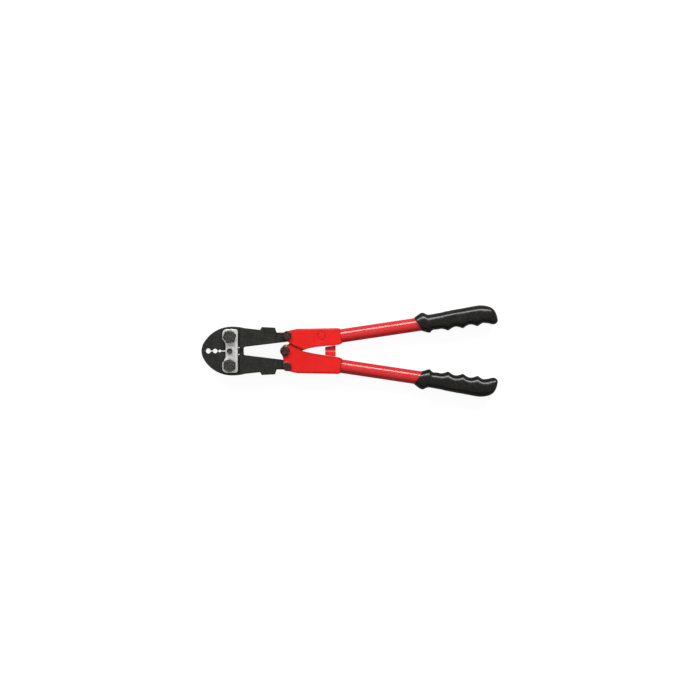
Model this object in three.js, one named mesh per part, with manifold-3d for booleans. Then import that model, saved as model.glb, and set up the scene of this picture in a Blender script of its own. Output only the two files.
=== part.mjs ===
// Hand swager for wire-rope ferrules, built like a pair of bolt cutters.
// Two forged jaws swing on bolts held by a pair of link plates. The tails of the jaws are
// pinned to two pressed brackets, which are pinned to each other and hold the tube handles.
// +X points from the jaws to the grips, +Z is up when the tool lies flat, and the tool is
// symmetrical about the XZ plane apart from the ears of its handle pivot.
// The pieces are worked out about a point midway between the jaw bolts, and the finished
// tool is then moved so that it stands on Z = 0 with the origin under the middle of its box.

import * as THREE from 'three';
import { mergeVertices } from 'three/addons/utils/BufferGeometryUtils.js';
import Module from 'manifold-3d';

const wasm = await Module();
wasm.setup();

const degree = Math.PI / 180;
const upper = 1;
const lower = -1;

// ---- Driving dimensions, in millimetres and radians ----

// Clearances
const faceGap = 0.3;                 // between two faces that rest on each other
const boreGap = 0.3;                 // round a bolt in its hole, on the radius
const swingGap = 0.5;                // between a moving piece and what it passes

// The toggle linkage, jaws closed
const jawBoltSpacing = 43.2;         // between the two jaw bolts
const tailReach = 86;                // from the jaw bolts back to the link bolts
const linkBoltSpacing = 46.2;        // between the two link bolts
const overCentre = 3;                // from the line of the link bolts to the handle pivot
const handleOpening = 50 * degree;   // swing of each handle from closed to open

// Jaws
const jawThickness = 12;             // at the nose, under the link plates and at the tang
const tailThickness = 16;            // behind the link plates
const noseReach = 42.8;              // from the jaw bolts to the tip
const noseRadius = 24;               // of the rounded tip
const headHalfWidth = 36.8;          // from the parting line to the crown of a jaw
const crownOffset = 3;               // of the crown behind the jaw bolts
const stepGap = 2.6;                 // between the link plates and the step in the jaws
const heelWidth = 5.7;               // of the step's lips, measured along the tool
const tailStart = 2.3;               // from the lips to where the wedge between the tails opens
const tailDrop = 4.8;                // fall of a tail's outer edge from the crown to its lug
const wedgeHalfWidth = 6.3;          // half the space between the tails where it opens
const lugLength = 22;                // of the stop lug on the outer edge of a tail
const lugHeight = 4.2;               // of the lug above the edge it stands on
const lugSetback = 16;               // from the link bolt to the end of the lug
const lugSlope = 2.4;                // of the lug's sloping end faces, along the tool
const tangRadius = 9.2;              // of the rounded end that takes the link bolt
const tangDrop = 4.4;                // of the tang's outer edge below the top of its round end
const shoulderSetback = 16.5;        // from the link bolt to where the tang is milled thinner
const partingGap = 0.15;             // between a closed jaw and the parting line
const reliefGap = 0.65;              // the same between the cavities, where the jaws are relieved

// Swaging cavities, across the parting line
const largeCavityRadius = 3.9;
const largeCavityReach = 32.9;       // from the jaw bolts
const hexCavityRadius = 4;           // to the corners of its six sides
const hexCavityReach = 22.6;
const smallCavityRadius = 2.2;
const smallCavityReach = 15.4;

// Link plates
const plateThickness = 4;
const plateFront = 11.2;             // ahead of the jaw bolts
const plateRear = 11.9;              // behind the jaw bolts
const plateOverhang = 11.3;          // beyond the jaw bolts, across the tool
const plateWaist = 6.2;              // ahead of the jaw bolts at the narrow middle
const waistHalfLength = 7;           // of the straight part of the waist
const lobeLength = 3.8;              // of the plate's full width, from a jaw bolt inwards
const plateFrontCorner = 8;
const plateRearCorner = 4.5;

// Centre block, which keeps the link plates apart
const blockFront = 5.5;              // ahead of the jaw bolts
const blockHalfWidth = 4.5;

// Fasteners
const jawBoltDiameter = 12;
const jawBoltAcrossFlats = 18;
const jawBoltHeadHeight = 6.5;
const jawNutHeight = 6;
const linkBoltDiameter = 8;
const linkBoltAcrossFlats = 13;
const linkBoltHeadHeight = 5;
const linkNutHeight = 4.5;
const pivotBoltDiameter = 8;
const pivotFlangeDiameter = 14.8;
const pivotFlangeThickness = 1.3;
const washerThickness = 1.6;
const washerBorder = 3.6;            // of a washer round its bolt
const centreScrewDiameter = 5;
const centreScrewHeadDiameter = 8.5;
const centreScrewHeadHeight = 3.5;
const centreScrewSocket = 4;         // across the flats of the socket in its head
const centreScrewSocketDepth = 2;
const chamferAngle = 30 * degree;    // of the chamfer on hexagonal heads and nuts
const chamferCircle = 0.95;          // of the flat inside it, as a share of the size across flats
const centreNutAcrossFlats = 8;
const centreNutHeight = 4;
const boltEndSetback = 0.5;          // of a bolt's end inside its nut

// Brackets
const sheetThickness = 3;
const cheekEndRadius = 6.8;          // round the link bolt
const earRadius = 7.1;               // round the handle pivot
const earStart = 143 * degree;       // where the round of the outer ears begins
const earEnd = 280 * degree;         // and where it runs into the seam's corner
const innerEarRadius = 6.4;          // of the inner ears and of the spacer between them
const earWall = 1.6;                 // round the clearance hole in the inner ears
const innerEarInset = 3.3;           // step inwards from the cheeks to the inner ears
const cheekRise = 10.3;              // of the cheek's outer edge above the link bolt
const riseLength = 15;               // over which the edge climbs to that height
const webSetback = 9;                // of the outer web behind the link bolt
const seamStartReach = 6.8;          // of the seam's corner behind the pivot
const seamStartDrop = 5;             // of that corner below the tang of the upper jaw
const seamEnd = { x: 27.8, y: -0.45 };    // where the two brackets all but meet
const seamWidth = 2.2;               // between the two brackets along that seam
const upperThroatReach = 70;         // from the link bolt to where the upper bracket fits the tube
const lowerThroatReach = 40;         // the same on the lower bracket
const upperThroatBulge = { x: 38, y: 6.6 };   // the curve before it bends towards this, from the pivot
const socketReach = 81.2;            // from the link bolt to the end of the socket
const socketRise = -0.3;             // of the tube's middle there above the link bolt
const socketWall = 2.1;              // of the drawn-down sheet round the tube
const mouthTaper = 4.5;              // length over which the socket's end is drawn in
const mouthDraw = 1.5;               // by this much on each side
const flareStart = 16;               // from the link bolt to where the cheeks start to spread
const flareEnd = 44;                 // and to where they are as far apart as the socket
const socketDepth = 21;              // of the tube inside the socket
const stopLength = 15.6;
const stopSetback = 8.2;             // from the end of the socket to the stop
const stopThickness = 14;
const markRadius = 6.6;              // of the ring pressed in the upper bracket's front face
const markWidth = 1;
const markDepth = 0.5;
const markReach = 51.8;              // from the link bolt to the ring
const markDrop = 0.6;                // of the ring below the link bolt

// Handles
const handleLean = 8.5 * degree;     // of a closed handle from the tool's axis
const tubeDiameter = 20.5;
const tubeWall = 2;
const exposedTube = 113.6;           // between the bracket and the grip
const gripLength = 123.6;
const gripThickness = 30;
const gripEndWall = 14;              // of solid rubber past the end of the tube
const collarLength = 18;
const collarThickness = 33;
const gripRecess = 1.2;              // of the rubber's front face behind the collar's rim
const gripWidth = 37;                // of the flattened round that a grip's section is cut from
const gripBack = 12.2;               // from the tube's middle to the back, behind the collar
const gripPalm = 14.4;               // the same where the back swells for the palm
const gripValley = 12;               // from the tube's middle to the valleys between fingers
const gripSwell = 16.2;              // the same to the swells
const fingerPitch = 22.3;
const firstSwell = 47.5;             // from the front of the grip

// ---- Values that follow from the driving dimensions ----

const jawHalf = jawThickness / 2;
const tailHalf = tailThickness / 2;
const plateOuter = jawHalf + faceGap + plateThickness;
const cheekInner = jawHalf + faceGap;
const cheekOuter = cheekInner + sheetThickness;
const earInner = cheekInner - innerEarInset;
const earOuter = earInner + sheetThickness;
const jawBolt = new THREE.Vector2(0, jawBoltSpacing / 2);
const linkBolt = new THREE.Vector2(tailReach, linkBoltSpacing / 2);
const pivot = new THREE.Vector2(tailReach - overCentre, 0);
const stepX = plateRear + stepGap;
const heelX = stepX + heelWidth;
const lugEnd = tailReach - lugSetback;
const lugStart = lugEnd - lugLength;
const tubeRadius = tubeDiameter / 2;
const socketBore = tubeRadius + faceGap;
const socketRadius = socketBore + socketWall;
const socketEnd = new THREE.Vector2(tailReach + socketReach, linkBolt.y + socketRise);
const seamStart = new THREE.Vector2(seamStartReach, linkBolt.y - tangRadius - seamStartDrop);
const tubeLength = socketDepth + exposedTube + gripLength - gripEndWall;

// The toggle: crank from the pivot to a link bolt, arm from a jaw bolt to the same link bolt
const crank = linkBolt.distanceTo(pivot);
const crankAngle = Math.atan2(linkBolt.y - pivot.y, linkBolt.x - pivot.x);
const arm = linkBolt.distanceTo(jawBolt);
const armAngle = Math.atan2(linkBolt.y - jawBolt.y, linkBolt.x - jawBolt.x);

// Turn of a jaw when each handle has swung out by an angle, from the closed linkage
function jawTurn(opening) {
  const height = pivot.y + crank * Math.sin(crankAngle + opening);
  return armAngle - Math.asin((height - jawBolt.y) / arm);
}

const jawOpening = jawTurn(handleOpening);

// The jaws follow the handles at a constant ratio, which is exact when closed and when open.
// In between, the pivot bolt drifts in the upper bracket by this much, seen on that bracket.
function pivotDrift(opening) {
  const turn = jawOpening * opening / handleOpening;
  const linkHeight = jawBolt.y + arm * Math.sin(armAngle - turn);
  const miss = linkHeight - crank * Math.sin(crankAngle + opening);
  return new THREE.Vector2(0, -2 * miss).rotateAround(new THREE.Vector2(), -opening);
}

// How far a point on a jaw's heel comes towards the parting line as the jaws open
function heelApproach(x) {
  return x * Math.sin(jawOpening);
}

// How far a point on the parting line of a jaw comes forward as the jaws open
const heelAdvance = jawBolt.y * Math.sin(jawOpening);

// Height of the handle tube's middle above the parting line
function tubeHeight(x) {
  return socketEnd.y + (x - socketEnd.x) * Math.tan(handleLean);
}

// ---- Solids ----

// A closed mesh as a solid that can be cut and joined
function solidOf(geometry) {
  const bare = geometry.index ? geometry.toNonIndexed() : geometry.clone();
  bare.deleteAttribute('normal');
  bare.deleteAttribute('uv');
  const merged = mergeVertices(bare, 1e-4);
  return new wasm.Manifold(new wasm.Mesh({
    numProp: 3,
    vertProperties: new Float32Array(merged.attributes.position.array),
    triVerts: new Uint32Array(merged.index.array),
  }));
}

function geometryOf(solid) {
  const mesh = solid.getMesh();
  const geometry = new THREE.BufferGeometry();
  geometry.setAttribute('position', new THREE.BufferAttribute(mesh.vertProperties, 3));
  geometry.setIndex(new THREE.BufferAttribute(mesh.triVerts, 1));
  return geometry.toNonIndexed();
}

function join(...solids) {
  return solids.reduce((whole, solid) => whole.add(solid));
}

function cut(solid, ...tools) {
  return tools.reduce((rest, tool) => rest.subtract(tool), solid);
}

// An outline in the XY plane, extruded between two heights
function prism(shape, low, high, curveSegments = 8) {
  const options = { depth: high - low, bevelEnabled: false, curveSegments };
  return solidOf(new THREE.ExtrudeGeometry(shape, options).translate(0, 0, low));
}

function cylinder(centre, radius, low, high, sides = 28) {
  const geometry = new THREE.CylinderGeometry(radius, radius, high - low, sides);
  geometry.rotateX(Math.PI / 2);
  return solidOf(geometry.translate(centre.x, centre.y, (low + high) / 2));
}

function block(x0, x1, y0, y1, z0, z1) {
  const geometry = new THREE.BoxGeometry(x1 - x0, y1 - y0, z1 - z0);
  return solidOf(geometry.translate((x0 + x1) / 2, (y0 + y1) / 2, (z0 + z1) / 2));
}

// A polygon through the given [x, y] points
function polygon(points) {
  return new THREE.Shape(points.map(([x, y]) => new THREE.Vector2(x, y)));
}

// A shape for the upper half of the tool, turned over to the lower half where side is lower
function onSide(geometry, side) {
  if (side === upper) {
    return geometry;
  }
  return geometryOf(solidOf(geometry).mirror([0, 1, 0]));
}

// ---- Materials ----

function finish(color, roughness, metalness) {
  return new THREE.MeshStandardMaterial({ color, roughness, metalness });
}

const forgedSteel = () => finish(0x30312e, 0.55, 0.75);
const zincPlate = () => finish(0xbdbcb8, 0.35, 0.9);
const blackOxide = () => finish(0x4b4946, 0.4, 0.85);
const bronzedSteel = () => finish(0x4d342c, 0.4, 0.8);
const redPaint = () => finish(0xe7282a, 0.35, 0.05);
const redEnamel = () => finish(0xd6383b, 0.2, 0.05);
const blackRubber = () => finish(0x232220, 0.85, 0);

const tool = new THREE.Group();

function place(name, geometry, material, parent = tool) {
  const mesh = new THREE.Mesh(geometry, material);
  mesh.name = name;
  parent.add(mesh);
  return mesh;
}

// ---- Fasteners ----

function hexagon(centre, acrossFlats, turn = 0) {
  const corner = acrossFlats / Math.sqrt(3);
  const points = [];
  for (let i = 0; i < 6; i += 1) {
    const angle = turn + i * 60 * degree;
    points.push([centre.x + corner * Math.cos(angle), centre.y + corner * Math.sin(angle)]);
  }
  return polygon(points);
}

// A hexagonal head or nut whose corners are chamfered on its outer face, at height top
function hexBlank(centre, acrossFlats, base, top, turn = 0) {
  const height = Math.abs(top - base);
  const beyond = acrossFlats / Math.sqrt(3) + 1;
  const flat = acrossFlats / 2 * chamferCircle;
  const profile = [
    new THREE.Vector2(0, 0),
    new THREE.Vector2(beyond, 0),
    new THREE.Vector2(beyond, height - (beyond - flat) * Math.tan(chamferAngle)),
    new THREE.Vector2(flat, height),
    new THREE.Vector2(0, height),
  ];
  const cone = new THREE.LatheGeometry(profile, 24);
  cone.rotateX(top > base ? Math.PI / 2 : -Math.PI / 2);
  cone.translate(centre.x, centre.y, base);
  const shape = hexagon(centre, acrossFlats, turn);
  return prism(shape, Math.min(base, top), Math.max(base, top)).intersect(solidOf(cone));
}

// A bolt whose head lies on a face at height seat, with its shank going down to height end
function hexBolt(centre, diameter, acrossFlats, headHeight, seat, end, turn) {
  const head = hexBlank(centre, acrossFlats, seat, seat + headHeight, turn);
  return join(head, cylinder(centre, diameter / 2, end, seat + headHeight / 2));
}

// A nut under a face at height seat
function hexNut(centre, diameter, acrossFlats, height, seat, turn) {
  const blank = hexBlank(centre, acrossFlats, seat, seat - height, turn);
  const radius = diameter / 2 + boreGap;
  return cut(blank, cylinder(centre, radius, seat - height - 1, seat + 1));
}

function flatWasher(centre, diameter, seat) {
  const radius = diameter / 2;
  const blank = cylinder(centre, radius + washerBorder, seat - washerThickness, seat);
  return cut(blank, cylinder(centre, radius + boreGap, seat - washerThickness - 1, seat + 1));
}

// ---- Jaws ----

// Outline of a jaw above the parting line, clockwise from the tip
function jawOutline() {
  const noseX = noseRadius - noseReach;
  const run = crownOffset - noseX;
  const rise = headHalfWidth ** 2 - noseRadius ** 2;
  const crownRadius = (run ** 2 + rise) / (2 * (headHalfWidth - noseRadius));
  const crownY = headHalfWidth - crownRadius;
  const blend = Math.atan2(-crownY, -run);
  const edgeY = headHalfWidth - tailDrop;
  const tangTop = linkBolt.y + tangRadius - tangDrop;
  const shape = new THREE.Shape();
  shape.moveTo(-noseReach, 0);
  shape.absarc(noseX, 0, noseRadius, Math.PI, blend, true);
  shape.absarc(crownOffset, crownY, crownRadius, blend, Math.PI / 2, true);
  shape.quadraticCurveTo(stepX, headHalfWidth, heelX + tailStart, headHalfWidth - tailDrop / 2);
  shape.lineTo(lugStart - lugSlope, edgeY);
  shape.lineTo(lugStart, edgeY + lugHeight);
  shape.lineTo(lugEnd - lugSlope, edgeY + lugHeight - 1);
  shape.lineTo(lugEnd, tangTop);
  shape.lineTo(linkBolt.x - tangRadius / 2, tangTop);
  const topAngle = Math.asin((tangRadius - tangDrop) / tangRadius);
  shape.absarc(linkBolt.x, linkBolt.y, tangRadius, topAngle, -Math.PI / 2, true);
  shape.lineTo(heelX + tailStart, wedgeHalfWidth);
  shape.lineTo(heelX, wedgeHalfWidth - tailStart / 2);
  shape.lineTo(heelX, 0);
  shape.closePath();
  return shape;
}

// What is taken from a jaw along the parting line: the tip's parting gap, the relief between
// the cavities, room for the centre block, and the slit between the lips over the block
function partingTools() {
  const far = tailThickness;
  const roomEnd = heelX + heelAdvance + swingGap;
  const roomFront = -blockFront - faceGap;
  const roomTop = blockHalfWidth + swingGap;
  const room = polygon([
    [roomFront, -1], [roomEnd, -1], [roomEnd, roomTop + heelApproach(roomEnd)],
    [0, roomTop], [roomFront, roomTop],
  ]);
  const slit = heelApproach(heelX) + swingGap;
  return [
    block(-noseReach - 1, heelX + 1, -1, partingGap, -far, far),
    block(-largeCavityReach, heelX + 1, -1, reliefGap, -far, far),
    prism(room, -jawHalf, jawHalf),
    block(stepX - 1, heelX + 1, -1, slit, -far, far),
  ];
}

function cavityTools() {
  const far = jawThickness;
  const large = new THREE.Vector2(-largeCavityReach, 0);
  const hex = new THREE.Vector2(-hexCavityReach, 0);
  const small = new THREE.Vector2(-smallCavityReach, 0);
  const acrossFlats = hexCavityRadius * Math.sqrt(3);
  return [
    cylinder(large, largeCavityRadius, -far, far, 32),
    prism(hexagon(hex, acrossFlats, 30 * degree), -far, far),
    cylinder(small, smallCavityRadius, -far, far, 24),
  ];
}

function jaw(side) {
  const outline = jawOutline();
  const body = prism(outline, -jawHalf, jawHalf, 20);
  const thick = block(stepX, tailReach - shoulderSetback, -1, headHalfWidth * 2, -tailHalf, tailHalf);
  const tail = prism(outline, -tailHalf, tailHalf, 20).intersect(thick);
  const jawBore = cylinder(jawBolt, jawBoltDiameter / 2 + boreGap, -jawThickness, jawThickness);
  const linkBore = cylinder(linkBolt, linkBoltDiameter / 2 + boreGap, -jawThickness, jawThickness);
  const solid = cut(join(body, tail), jawBore, linkBore, ...partingTools(), ...cavityTools());
  return onSide(geometryOf(solid), side);
}

place('upper_jaw', jaw(upper), forgedSteel());
place('lower_jaw', jaw(lower), forgedSteel());

// ---- Link plates, jaw bolts and centre block ----

// Outline of a link plate, a bar with a narrower front at its middle, anticlockwise from
// the lower rear corner
function plateOutline() {
  const tip = jawBolt.y + plateOverhang;
  const lobe = jawBolt.y - lobeLength;
  const shape = new THREE.Shape();
  shape.moveTo(plateRear, -tip + plateRearCorner);
  shape.lineTo(plateRear, tip - plateRearCorner);
  shape.quadraticCurveTo(plateRear, tip, plateRear - plateRearCorner, tip);
  shape.lineTo(plateFrontCorner - plateFront, tip);
  shape.quadraticCurveTo(-plateFront, tip, -plateFront, tip - plateFrontCorner);
  shape.lineTo(-plateFront, lobe);
  shape.quadraticCurveTo(-plateWaist, (lobe + waistHalfLength) / 2, -plateWaist, waistHalfLength);
  shape.lineTo(-plateWaist, -waistHalfLength);
  shape.quadraticCurveTo(-plateWaist, -(lobe + waistHalfLength) / 2, -plateFront, -lobe);
  shape.lineTo(-plateFront, plateFrontCorner - tip);
  shape.quadraticCurveTo(-plateFront, -tip, plateFrontCorner - plateFront, -tip);
  shape.lineTo(plateRear - plateRearCorner, -tip);
  shape.quadraticCurveTo(plateRear, -tip, plateRear, plateRearCorner - tip);
  return shape;
}

function linkPlate(low, high) {
  const lowerBolt = new THREE.Vector2(jawBolt.x, -jawBolt.y);
  const middle = new THREE.Vector2(0, 0);
  const boltHole = jawBoltDiameter / 2 + boreGap;
  const screwHole = centreScrewDiameter / 2 + boreGap;
  return geometryOf(cut(
    prism(plateOutline(), low, high, 10),
    cylinder(jawBolt, boltHole, low - 1, high + 1),
    cylinder(lowerBolt, boltHole, low - 1, high + 1),
    cylinder(middle, screwHole, low - 1, high + 1, 20),
  ));
}

place('front_link_plate', linkPlate(plateOuter - plateThickness, plateOuter), zincPlate());
place('rear_link_plate', linkPlate(-plateOuter, plateThickness - plateOuter), zincPlate());

function jawFasteners(prefix, side) {
  const centre = new THREE.Vector2(jawBolt.x, side * jawBolt.y);
  const seat = plateOuter + faceGap;
  const end = -seat - jawNutHeight + boltEndSetback;
  const turn = side === upper ? 12 * degree : 30 * degree;
  const bolt = hexBolt(centre, jawBoltDiameter, jawBoltAcrossFlats, jawBoltHeadHeight, seat, end, turn);
  const nut = hexNut(centre, jawBoltDiameter, jawBoltAcrossFlats, jawNutHeight, -seat, turn);
  place(`${prefix}_jaw_bolt`, geometryOf(bolt), blackOxide());
  place(`${prefix}_jaw_nut`, geometryOf(nut), blackOxide());
}

jawFasteners('upper', upper);
jawFasteners('lower', lower);

function centreBlock() {
  const half = jawHalf - faceGap;
  const body = block(-blockFront, heelX, -blockHalfWidth, blockHalfWidth, -half, half);
  const hole = cylinder(new THREE.Vector2(), centreScrewDiameter / 2 + boreGap, -half - 1, half + 1, 20);
  return geometryOf(cut(body, hole));
}

function centreScrew() {
  const axis = new THREE.Vector2(0, 0);
  const seat = plateOuter + faceGap;
  const top = seat + centreScrewHeadHeight;
  const end = -seat - centreNutHeight + boltEndSetback;
  const head = cylinder(axis, centreScrewHeadDiameter / 2, seat, top, 24);
  const shank = cylinder(axis, centreScrewDiameter / 2, end, seat + 1, 20);
  const socket = prism(hexagon(axis, centreScrewSocket), top - centreScrewSocketDepth, top + 1);
  return geometryOf(cut(join(head, shank), socket));
}

place('centre_block', centreBlock(), forgedSteel());
place('centre_screw', centreScrew(), blackOxide());
const centreNutSeat = -plateOuter - faceGap;
const centreNut = hexNut(
  new THREE.Vector2(), centreScrewDiameter, centreNutAcrossFlats, centreNutHeight, centreNutSeat);
place('centre_nut', geometryOf(centreNut), blackOxide());

// ---- Brackets ----

// Height of the socket's inner side above the parting line
function socketInner(x) {
  return tubeHeight(x) - socketRadius / Math.cos(handleLean);
}

// The rim that both brackets share, from the socket's inner end round to the link bolt
function socketRim(shape) {
  const corners = [
    [-mouthTaper, -socketRadius], [0, mouthDraw - socketRadius],
    [0, socketRadius - mouthDraw], [-mouthTaper, socketRadius],
  ];
  for (const [along, across] of corners) {
    const corner = new THREE.Vector2(along, across).rotateAround(new THREE.Vector2(), handleLean);
    shape.lineTo(socketEnd.x + corner.x, socketEnd.y + corner.y);
  }
  const drop = socketRadius / Math.cos(handleLean);
  shape.lineTo(socketEnd.x - stopSetback, tubeHeight(socketEnd.x - stopSetback) + drop);
  shape.lineTo(linkBolt.x + riseLength, linkBolt.y + cheekRise);
  shape.lineTo(linkBolt.x, linkBolt.y + cheekEndRadius);
  shape.absarc(linkBolt.x, linkBolt.y, cheekEndRadius, Math.PI / 2, Math.PI * 1.15, false);
}

// Seam edge of the upper bracket, parallel to the lower bracket's edge
function seamOffset() {
  const run = new THREE.Vector2(seamEnd.x - seamStart.x, seamEnd.y - seamStart.y).normalize();
  return new THREE.Vector2(-run.y, run.x);
}

// Cheeks of the upper bracket, which stop short of the pivot
function upperCheekOutline() {
  const out = seamOffset().multiplyScalar(seamWidth);
  const shape = new THREE.Shape();
  shape.moveTo(pivot.x + seamStart.x + out.x, seamStart.y + out.y);
  shape.lineTo(pivot.x + seamEnd.x + out.x, seamEnd.y + out.y);
  const throat = tailReach + upperThroatReach;
  const bulge = upperThroatBulge;
  shape.quadraticCurveTo(pivot.x + bulge.x, bulge.y, throat, socketInner(throat));
  socketRim(shape);
  shape.closePath();
  return shape;
}

// Cheeks of the lower bracket, drawn turned over, with the outer ears round the pivot
function lowerCheekOutline() {
  const shape = new THREE.Shape();
  shape.moveTo(pivot.x + seamStart.x, -seamStart.y);
  shape.lineTo(pivot.x + seamEnd.x, -seamEnd.y);
  const throat = tailReach + lowerThroatReach;
  shape.lineTo(throat, socketInner(throat));
  socketRim(shape);
  const ear = new THREE.Vector2(earRadius, 0).rotateAround(new THREE.Vector2(), earStart);
  shape.quadraticCurveTo(pivot.x - 1, linkBolt.y / 2, pivot.x + ear.x, ear.y);
  shape.absarc(pivot.x, 0, earRadius, earStart, earEnd, false);
  shape.closePath();
  return shape;
}

// Everything within a half thickness that grows along the tool, as the cheeks spread to
// take the tube
function flare(narrow, wide) {
  const first = linkBolt.x + flareStart;
  const last = linkBolt.x + flareEnd;
  const rear = socketEnd.x * 2;
  const side = polygon([
    [0, -narrow], [first, -narrow], [last, -wide], [rear, -wide],
    [rear, wide], [last, wide], [first, narrow], [0, narrow],
  ]);
  return prism(side, -rear, rear).rotate([90, 0, 0]);
}

// The space between the cheeks, open to the front and to the inner side
function channelSpace() {
  const end = socketEnd.x - socketDepth + socketWall;
  const webStart = linkBolt.x + webSetback;
  const far = linkBolt.y * 3;
  const outer = linkBolt.y + cheekRise - sheetThickness;
  const space = polygon([
    [0, -far], [end, -far], [end, outer - sheetThickness], [end - sheetThickness * 2, outer],
    [webStart, outer], [webStart, far], [0, far],
  ]);
  return prism(space, -socketBore, socketBore).intersect(flare(cheekInner, socketBore));
}

// A cylinder along the handle tube, from one distance before the socket's end to another
function alongTube(radius, from, to, sides = 32) {
  const geometry = new THREE.CylinderGeometry(radius, radius, to - from, sides);
  geometry.rotateZ(-Math.PI / 2);
  geometry.translate((from + to) / 2, 0, 0);
  geometry.rotateZ(handleLean);
  return solidOf(geometry.translate(socketEnd.x, socketEnd.y, 0));
}

// Where the pivot bolt passes in the upper bracket while the handles open
function driftSteps() {
  const steps = 8;
  const centres = [];
  for (let i = 0; i < steps; i += 1) {
    centres.push(pivotDrift(handleOpening * i / steps).add(pivot));
  }
  return centres;
}

// Inner ears of the upper bracket: two plates stepped inwards, each with a clearance hole
function innerEars() {
  const seam = seamOffset();
  const near = seam.clone().multiplyScalar(seamWidth);
  const far = seam.clone().multiplyScalar(seamWidth + sheetThickness);
  const start = new THREE.Vector2(pivot.x + seamStart.x, seamStart.y);
  const end = new THREE.Vector2(pivot.x + seamEnd.x, seamEnd.y);
  const hole = pivotBoltDiameter / 2 + boreGap;
  const web = polygon([
    [pivot.x, -innerEarRadius], [end.x + near.x, end.y + near.y], [end.x + far.x, end.y + far.y],
    [start.x + far.x, start.y + far.y], [pivot.x, innerEarRadius],
  ]);
  const fold = polygon([
    [start.x + near.x, start.y + near.y], [end.x + near.x, end.y + near.y],
    [end.x + far.x, end.y + far.y], [start.x + far.x, start.y + far.y],
  ]);
  const ears = [];
  for (const face of [1, -1]) {
    const low = Math.min(face * earInner, face * earOuter);
    const high = Math.max(face * earInner, face * earOuter);
    const foldLow = Math.min(face * earInner, face * cheekOuter);
    const foldHigh = Math.max(face * earInner, face * cheekOuter);
    const rounds = driftSteps().map((centre) => cylinder(centre, hole + earWall, low, high, 24));
    const holes = driftSteps().map((centre) => cylinder(centre, hole, low - 1, high + 1, 24));
    const plate = join(prism(web, low, high), cylinder(pivot, innerEarRadius, low, high), ...rounds);
    ears.push(join(cut(plate, ...holes), prism(fold, foldLow, foldHigh)));
  }
  return ears;
}

// The groove of the ring mark, in the flat of the socket's front face
function ringMark() {
  const middle = new THREE.Vector2(linkBolt.x + markReach, linkBolt.y - markDrop);
  const floor = socketRadius - markDepth;
  return cut(
    cylinder(middle, markRadius, floor, socketRadius + 1),
    cylinder(middle, markRadius - markWidth, floor - 1, socketRadius + 2),
  );
}

function bracket(side) {
  const outline = side === upper ? upperCheekOutline() : lowerCheekOutline();
  const bolt = linkBoltDiameter / 2 + boreGap;
  const cheekBore = cylinder(linkBolt, bolt, -cheekOuter - 1, cheekOuter + 1);
  const body = prism(outline, -socketRadius, socketRadius).intersect(flare(cheekOuter, socketRadius));
  const channel = cut(body, channelSpace(), cheekBore);
  const bore = alongTube(socketBore, -socketDepth - faceGap, 1);
  const solid = cut(channel, bore);
  if (side === upper) {
    return geometryOf(join(cut(solid, ringMark()), ...innerEars()));
  }
  const pivotBore = pivotBoltDiameter / 2 + boreGap;
  const bored = cut(solid, cylinder(pivot, pivotBore, -cheekOuter - 1, cheekOuter + 1));
  return onSide(geometryOf(bored), side);
}

place('upper_bracket', bracket(upper), redPaint());
place('lower_bracket', bracket(lower), redPaint());

// A pad on the inner side of each socket; the pads meet when the handles are closed
function stopPad(side) {
  const rear = socketEnd.x - stopSetback;
  const front = rear - stopLength;
  const drop = (socketRadius + faceGap) / Math.cos(handleLean);
  const shape = polygon([
    [front, partingGap], [rear, partingGap], [rear, tubeHeight(rear) - drop],
    [front, tubeHeight(front) - drop],
  ]);
  return onSide(geometryOf(prism(shape, -stopThickness / 2, stopThickness / 2)), side);
}

place('upper_stop', stopPad(upper), redPaint());
place('lower_stop', stopPad(lower), redPaint());

// ---- Link bolts and handle pivot ----

const cornersUp = 30 * degree;       // turn of a hexagon with corners across the tool
const cheekSeat = cheekOuter + faceGap;
const nutSeat = cheekSeat + washerThickness + faceGap;

function linkFasteners(prefix, side) {
  const centre = new THREE.Vector2(linkBolt.x, side * linkBolt.y);
  const end = -nutSeat - linkNutHeight + boltEndSetback;
  const bolt = hexBolt(
    centre, linkBoltDiameter, linkBoltAcrossFlats, linkBoltHeadHeight, cheekSeat, end, cornersUp);
  const nut = hexNut(
    centre, linkBoltDiameter, linkBoltAcrossFlats, linkNutHeight, -nutSeat, cornersUp);
  place(`${prefix}_link_bolt`, geometryOf(bolt), bronzedSteel());
  place(`${prefix}_link_washer`, geometryOf(flatWasher(centre, linkBoltDiameter, -cheekSeat)), zincPlate());
  place(`${prefix}_link_nut`, geometryOf(nut), bronzedSteel());
}

linkFasteners('upper', upper);
linkFasteners('lower', lower);

function pivotFasteners() {
  const end = -nutSeat - linkNutHeight + boltEndSetback;
  const top = cheekSeat + linkBoltHeadHeight;
  const flangeTop = cheekSeat + pivotFlangeThickness;
  const bolt = join(
    hexBlank(pivot, linkBoltAcrossFlats, flangeTop - 0.5, top, 20 * degree),
    cylinder(pivot, pivotFlangeDiameter / 2, cheekSeat, flangeTop),
    cylinder(pivot, pivotBoltDiameter / 2, end, flangeTop),
  );
  const nut = hexNut(pivot, pivotBoltDiameter, linkBoltAcrossFlats, linkNutHeight, -nutSeat, 20 * degree);
  const spacerHalf = earInner - faceGap;
  const spacer = cut(
    cylinder(pivot, innerEarRadius, -spacerHalf, spacerHalf),
    cylinder(pivot, pivotBoltDiameter / 2 + boreGap, -spacerHalf - 1, spacerHalf + 1),
  );
  place('pivot_bolt', geometryOf(bolt), bronzedSteel());
  place('pivot_spacer', geometryOf(spacer), zincPlate());
  place('pivot_washer', geometryOf(flatWasher(pivot, pivotBoltDiameter, -cheekSeat)), zincPlate());
  place('pivot_nut', geometryOf(nut), bronzedSteel());
}

pivotFasteners();

// ---- Tubes and grips, in the frame of each handle ----
// Local +X runs along the tube from the socket's end, and local +Y points away from the
// tool's middle on the upper handle.

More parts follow.
